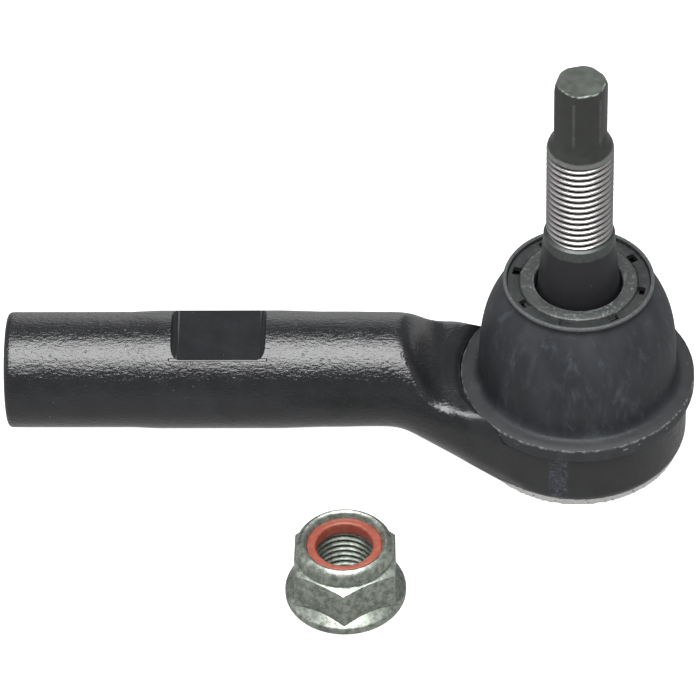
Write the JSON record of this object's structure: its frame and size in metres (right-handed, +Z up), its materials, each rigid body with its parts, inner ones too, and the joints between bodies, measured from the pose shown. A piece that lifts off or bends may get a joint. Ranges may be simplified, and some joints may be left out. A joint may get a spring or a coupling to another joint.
{
  "type": "tie rod end",
  "caption": "Outer tie rod end: forged female-threaded shank, sealed ball joint with rubber dust boot, taper stud with drive tip, and flanged lock nut.",
  "frame": {"origin": "centre of the socket's flat underside, on the stud's axis", "axes": "+Z up the stud from the ball to the drive tip, -X along the shank towards its open threaded end"},
  "size_m": [0.147, 0.0854, 0.0994],
  "materials": {
    "black_paint": "gloss black dip paint over forged steel",
    "bearing_plastic": "moulded acetal",
    "spring_steel": "plain spring steel",
    "cover_steel": "pressed steel",
    "phosphated_steel": "dark phosphate, bright rolled thread",
    "boot_rubber": "matte rubber",
    "collar_plastic": "moulded black plastic",
    "bush_plastic": "scuffed grey plastic",
    "zinc_plate": "grey zinc plate with a satin grain",
    "red_nylon": "moulded nylon"
  },
  "bodies": {
    "housing": {"housing": "black_paint", "upper_bearing": "bearing_plastic", "lower_bearing": "bearing_plastic", "preload_spring": "spring_steel", "end_cover": "cover_steel"},
    "boot": {"dust_boot": "boot_rubber", "boot_base_ring": "cover_steel"},
    "boot_collar": {"boot_collar_ring": "collar_plastic", "boot_collar_bush": "bush_plastic"},
    "stud": {"ball_stud": "phosphated_steel"},
    "nut": {"nut_body": "zinc_plate", "nut_insert": "red_nylon"}
  },
  "joints": [
    {"name": "boot_turn", "type": "hinge", "parent": "housing", "child": "boot", "pos_m": [0, 0, 0.02], "axis": [0, 0, 1], "continuous": true},
    {"name": "stud_tilt", "type": "hinge", "parent": "boot", "child": "boot_collar", "pos_m": [0, 0, 0.02], "axis": [0, 1, 0], "range_deg": [-22, 22], "deforming": ["dust_boot"]},
    {"name": "stud_spin", "type": "hinge", "parent": "boot_collar", "child": "stud", "pos_m": [0, 0, 0.02], "axis": [0, 0, 1], "continuous": true},
    {"name": "nut_lift", "type": "slide", "parent": "housing", "child": "nut", "axis": [0, 0, 1], "range_m": [0, 0.12]}
  ]
}
